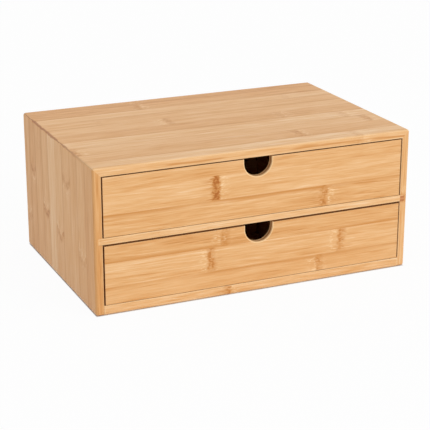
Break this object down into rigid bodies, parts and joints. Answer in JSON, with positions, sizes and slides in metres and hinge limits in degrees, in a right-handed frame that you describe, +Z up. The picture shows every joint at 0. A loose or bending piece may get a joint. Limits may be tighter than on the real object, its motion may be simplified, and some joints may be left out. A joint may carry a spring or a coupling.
{
  "type": "tabletop drawer chest",
  "caption": "Low bamboo tabletop chest for tea bags: full-width drawers, one over the other, pull out by a round finger notch and are split into compartments by crossed dividers.",
  "frame": {"origin": "middle of the underside, on the surface that the chest stands on", "axes": "+X to the right seen from the front, +Y from the drawer fronts to the back, +Z up"},
  "size_m": [0.33, 0.217, 0.143],
  "materials": {
    "case_bamboo": "laminated bamboo strips, satin clear lacquer",
    "front_bamboo": "laminated bamboo strips, satin clear lacquer",
    "inner_bamboo": "bamboo board, thin matt lacquer",
    "dowel_wood": "bare turned hardwood"
  },
  "bodies": {
    "case": {"top_panel": "case_bamboo", "left_side_panel": "case_bamboo", "right_side_panel": "case_bamboo", "base_panel": "case_bamboo", "shelf_panel": "case_bamboo", "back_panel": "inner_bamboo", "base_dowels": "dowel_wood"},
    "lower_drawer": {"lower_drawer_front": "front_bamboo", "lower_drawer_left_side": "inner_bamboo", "lower_drawer_right_side": "inner_bamboo", "lower_drawer_back": "inner_bamboo", "lower_drawer_bottom": "inner_bamboo", "lower_long_divider": "inner_bamboo", "lower_cross_divider_1": "inner_bamboo", "lower_cross_divider_2": "inner_bamboo"},
    "upper_drawer": {"upper_drawer_front": "front_bamboo", "upper_drawer_left_side": "inner_bamboo", "upper_drawer_right_side": "inner_bamboo", "upper_drawer_back": "inner_bamboo", "upper_drawer_bottom": "inner_bamboo", "upper_long_divider": "inner_bamboo", "upper_cross_divider_1": "inner_bamboo", "upper_cross_divider_2": "inner_bamboo"}
  },
  "joints": [
    {"name": "lower_drawer_slide", "type": "slide", "parent": "case", "child": "lower_drawer", "axis": [0, -1, 0], "range_m": [0, 0.17]},
    {"name": "upper_drawer_slide", "type": "slide", "parent": "case", "child": "upper_drawer", "axis": [0, -1, 0], "range_m": [0, 0.17]}
  ]
}
